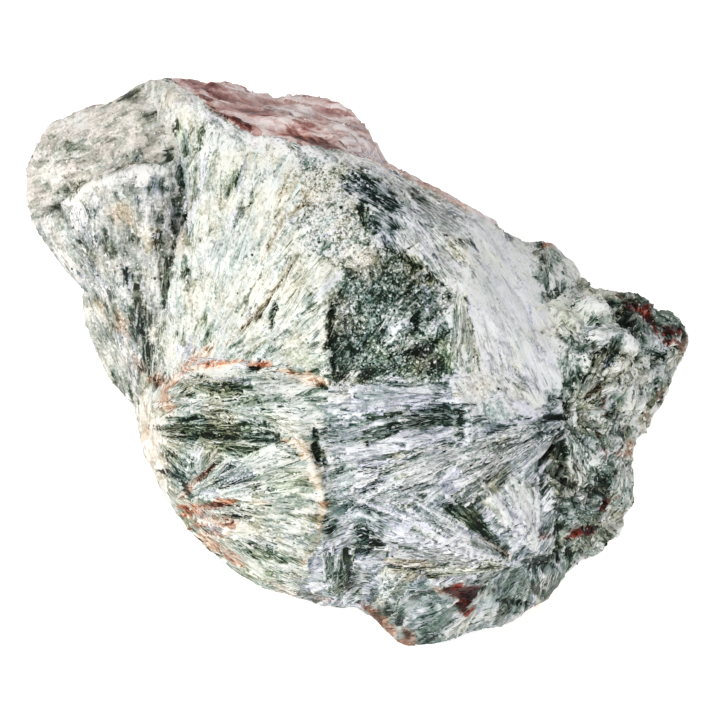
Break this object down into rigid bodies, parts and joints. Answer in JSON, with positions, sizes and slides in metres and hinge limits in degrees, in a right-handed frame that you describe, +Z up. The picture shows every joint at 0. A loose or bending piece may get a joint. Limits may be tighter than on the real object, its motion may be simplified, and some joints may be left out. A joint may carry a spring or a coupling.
{
  "type": "rough seraphinite stone",
  "caption": "Rough broken lump of seraphinite with radiating silvery green feathers of fibres, a red-brown crust along its top edge and a small flat underside to rest on.",
  "frame": {"origin": "on the resting plane, under the middle of the stone's box", "axes": "+Z up as the stone lies, +X along its length to the right as the broken face is looked at; the broken face looks towards -Y and 50 degrees upwards"},
  "size_m": [0.0666, 0.0494, 0.0432],
  "materials": {
    "seraphinite": "rough natural stone with silky fibres"
  },
  "bodies": {
    "root": {"seraphinite": "seraphinite"}
  },
  "joints": []
}
